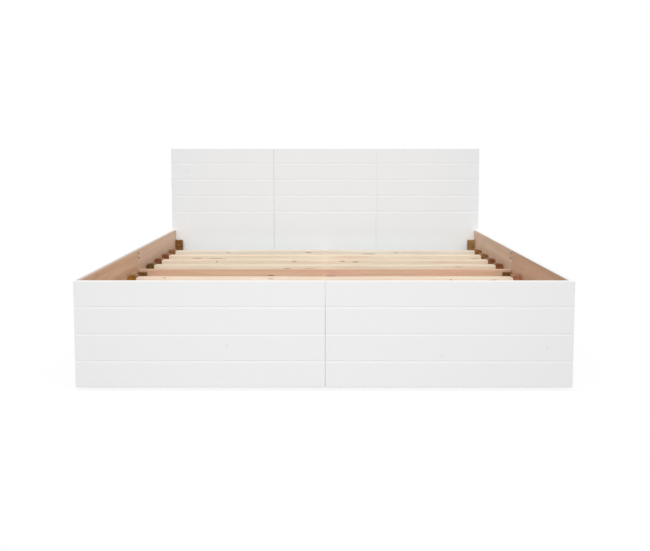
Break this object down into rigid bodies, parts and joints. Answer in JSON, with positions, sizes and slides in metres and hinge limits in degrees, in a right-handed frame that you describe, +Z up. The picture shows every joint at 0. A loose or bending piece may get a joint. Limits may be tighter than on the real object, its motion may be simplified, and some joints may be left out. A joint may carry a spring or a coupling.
{
  "type": "bed with drawers",
  "caption": "Low double bed frame of grooved white panels with a raw wood inside, pine slats in plastic holders, and wheeled handle-less drawers that roll out at the foot end.",
  "frame": {"origin": "on the floor, under the middle of the bed's box", "axes": "+Z up, +Y from the foot end to the headboard, +X to the right seen from the foot end"},
  "size_m": [1.44, 2.066, 0.702],
  "materials": {
    "white_panel": "white satin paint on grooved board",
    "rail_board": "white satin paint outside and on the edges, raw reddish wood inside",
    "raw_board": "raw reddish wood",
    "slat_pine": "sawn pale pine with knots",
    "batten_pine": "planed pale pine",
    "drawer_board": "planed pale pine",
    "drawer_base": "birch plywood sheet",
    "holder_plastic": "moulded brown plastic",
    "block_plastic": "moulded brown plastic",
    "zinc_steel": "yellow zinc-plated steel",
    "joint_steel": "dark browned steel",
    "wheel_plastic": "moulded dark grey plastic",
    "glide_plastic": "moulded brown plastic"
  },
  "bodies": {
    "frame": {"centre_beam": "raw_board", "centre_leg": "raw_board", "centre_partition": "raw_board", "corner_block_foot_left": "block_plastic", "corner_block_foot_right": "block_plastic", "corner_block_mid_left": "block_plastic", "corner_block_mid_right": "block_plastic", "corner_block_screws": "zinc_steel", "corner_blocks_centre": "block_plastic", "corner_blocks_head_left": "block_plastic", "corner_blocks_head_right": "block_plastic", "floor_glides": "glide_plastic", "foot_cross_rail": "raw_board", "headboard_batten_high": "batten_pine", "headboard_batten_low": "batten_pine", "headboard_batten_screws": "zinc_steel", "headboard_panel_centre": "white_panel", "headboard_panel_left": "white_panel", "headboard_panel_right": "white_panel", "mid_cross_panel": "raw_board", "rail_joint_screws": "joint_steel", "side_rail_left_front": "rail_board", "side_rail_left_rear": "rail_board", "side_rail_right_front": "rail_board", "side_rail_right_rear": "rail_board", "slat_1": "slat_pine", "slat_2": "slat_pine", "slat_3": "slat_pine", "slat_4": "slat_pine", "slat_5": "slat_pine", "slat_6": "slat_pine", "slat_7": "slat_pine", "slat_8": "slat_pine", "slat_holders_left": "holder_plastic", "slat_holders_right": "holder_plastic"},
    "drawer_left": {"drawer_left_back": "drawer_board", "drawer_left_bottom": "drawer_base", "drawer_left_bottom_batten": "drawer_board", "drawer_left_box_front": "drawer_board", "drawer_left_castor_axles": "zinc_steel", "drawer_left_castor_brackets": "zinc_steel", "drawer_left_front": "white_panel", "drawer_left_screws": "zinc_steel", "drawer_left_side_inner": "drawer_board", "drawer_left_side_outer": "drawer_board"},
    "drawer_right": {"drawer_right_back": "drawer_board", "drawer_right_bottom": "drawer_base", "drawer_right_bottom_batten": "drawer_board", "drawer_right_box_front": "drawer_board", "drawer_right_castor_axles": "zinc_steel", "drawer_right_castor_brackets": "zinc_steel", "drawer_right_front": "white_panel", "drawer_right_screws": "zinc_steel", "drawer_right_side_inner": "drawer_board", "drawer_right_side_outer": "drawer_board"},
    "drawer_left_front_castor_wheels": {"drawer_left_wheels_front": "wheel_plastic"},
    "drawer_left_rear_castor_wheels": {"drawer_left_wheels_rear": "wheel_plastic"},
    "drawer_right_front_castor_wheels": {"drawer_right_wheels_front": "wheel_plastic"},
    "drawer_right_rear_castor_wheels": {"drawer_right_wheels_rear": "wheel_plastic"}
  },
  "joints": [
    {"name": "drawer_left_slide", "type": "slide", "parent": "frame", "child": "drawer_left", "axis": [0, -1, 0], "range_m": [0, 0.8]},
    {"name": "drawer_left_front_castor_roll", "type": "hinge", "parent": "drawer_left", "child": "drawer_left_front_castor_wheels", "pos_m": [-0.3555, -0.925, 0.02], "axis": [1, 0, 0], "continuous": true},
    {"name": "drawer_left_rear_castor_roll", "type": "hinge", "parent": "drawer_left", "child": "drawer_left_rear_castor_wheels", "pos_m": [-0.3555, -0.17618, 0.02], "axis": [1, 0, 0], "continuous": true},
    {"name": "drawer_right_slide", "type": "slide", "parent": "frame", "child": "drawer_right", "axis": [0, -1, 0], "range_m": [0, 0.8]},
    {"name": "drawer_right_front_castor_roll", "type": "hinge", "parent": "drawer_right", "child": "drawer_right_front_castor_wheels", "pos_m": [0.3555, -0.925, 0.02], "axis": [1, 0, 0], "continuous": true},
    {"name": "drawer_right_rear_castor_roll", "type": "hinge", "parent": "drawer_right", "child": "drawer_right_rear_castor_wheels", "pos_m": [0.3555, -0.17618, 0.02], "axis": [1, 0, 0], "continuous": true}
  ],
  "couplings": [
    {"joint": "drawer_left_front_castor_roll", "follows": "drawer_left_slide", "rad_per_m": 50},
    {"joint": "drawer_left_rear_castor_roll", "follows": "drawer_left_slide", "rad_per_m": 50},
    {"joint": "drawer_right_front_castor_roll", "follows": "drawer_right_slide", "rad_per_m": 50},
    {"joint": "drawer_right_rear_castor_roll", "follows": "drawer_right_slide", "rad_per_m": 50}
  ]
}
